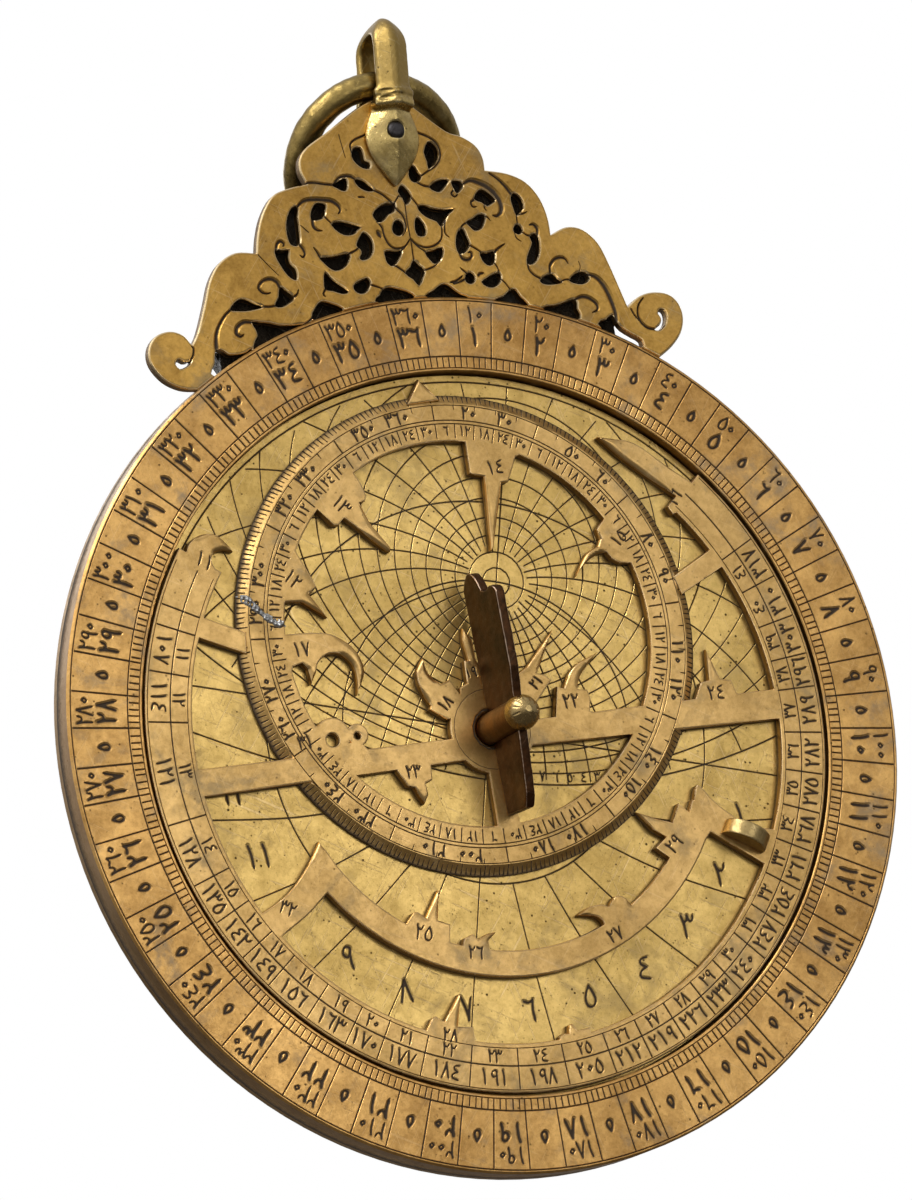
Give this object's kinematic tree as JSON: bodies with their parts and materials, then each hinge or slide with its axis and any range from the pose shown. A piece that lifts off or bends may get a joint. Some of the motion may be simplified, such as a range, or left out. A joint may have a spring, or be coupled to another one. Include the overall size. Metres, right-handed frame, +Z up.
{
  "type": "planispheric astrolabe",
  "caption": "Brass planispheric astrolabe: graduated mater with openwork throne, latitude plates, pierced star net, pin and horse, shackle and ring, sighting rule behind.",
  "frame": {"origin": "on the pin's axis, in the plane of the limb's front face", "axes": "+Z up from the pin to the throne, -Y out of the engraved face, +X to the right of someone who reads the face"},
  "size_m": [0.15, 0.0378, 0.1997],
  "materials": {
    "mater_brass": "worn orange brass, dark in the engraving",
    "throne_brass": "worn orange brass, chased",
    "dark_ground": "blackened brass ground",
    "plate_brass": "yellow brass, engraved",
    "net_brass": "yellow brass, hand worn",
    "bright_brass": "polished by handling",
    "shackle_brass": "cast brass, smooth and worn",
    "rivet_brass": "hammered flush",
    "pin_copper": "coppery brass",
    "horse_copper": "dark copper, filed",
    "rivet_iron": "dark iron",
    "solder": "grey soft solder"
  },
  "bodies": {
    "mater": {"mater_back": "mater_brass", "limb_ring": "mater_brass", "limb_rivets": "rivet_brass", "throne": "throne_brass", "throne_ground": "dark_ground", "throne_dowels": "rivet_brass", "tympan_front": "plate_brass", "tympan_middle": "plate_brass", "tympan_rear": "plate_brass"},
    "star_net": {"rete": "net_brass", "ecliptic_repair": "solder", "rete_knob": "net_brass"},
    "pin_body": {"pin": "pin_copper", "pin_cap": "bright_brass"},
    "horse_body": {"horse": "horse_copper"},
    "shackle_body": {"shackle": "shackle_brass", "shackle_rivet": "rivet_iron"},
    "ring_body": {"suspension_ring": "shackle_brass"},
    "rule_body": {"alidade": "plate_brass", "vane_left": "net_brass", "vane_right": "net_brass", "vane_rivets": "rivet_brass", "pin_washer": "plate_brass"}
  },
  "joints": [
    {"name": "net_turn", "type": "hinge", "parent": "mater", "child": "star_net", "pos_m": [0, 0.0012, 0], "axis": [0, -1, 0], "continuous": true},
    {"name": "rule_turn", "type": "hinge", "parent": "mater", "child": "rule_body", "pos_m": [0, 0.008, 0], "axis": [0, 1, 0], "continuous": true},
    {"name": "pin_turn", "type": "hinge", "parent": "mater", "child": "pin_body", "pos_m": [0, 0.003, 0], "axis": [0, -1, 0], "continuous": true},
    {"name": "horse_draw", "type": "slide", "parent": "pin_body", "child": "horse_body", "axis": [-0.0332, 0, 0.9995], "range_m": [0, 0.014]},
    {"name": "shackle_turn", "type": "hinge", "parent": "mater", "child": "shackle_body", "pos_m": [-0.0004, 0.0014, 0.1039], "axis": [0, -1, 0], "range_deg": [-9, 5]},
    {"name": "ring_swing", "type": "hinge", "parent": "shackle_body", "child": "ring_body", "pos_m": [-0.0005, 0.0015, 0.1131], "axis": [1, 0, 0], "range_deg": [0, 285]}
  ]
}
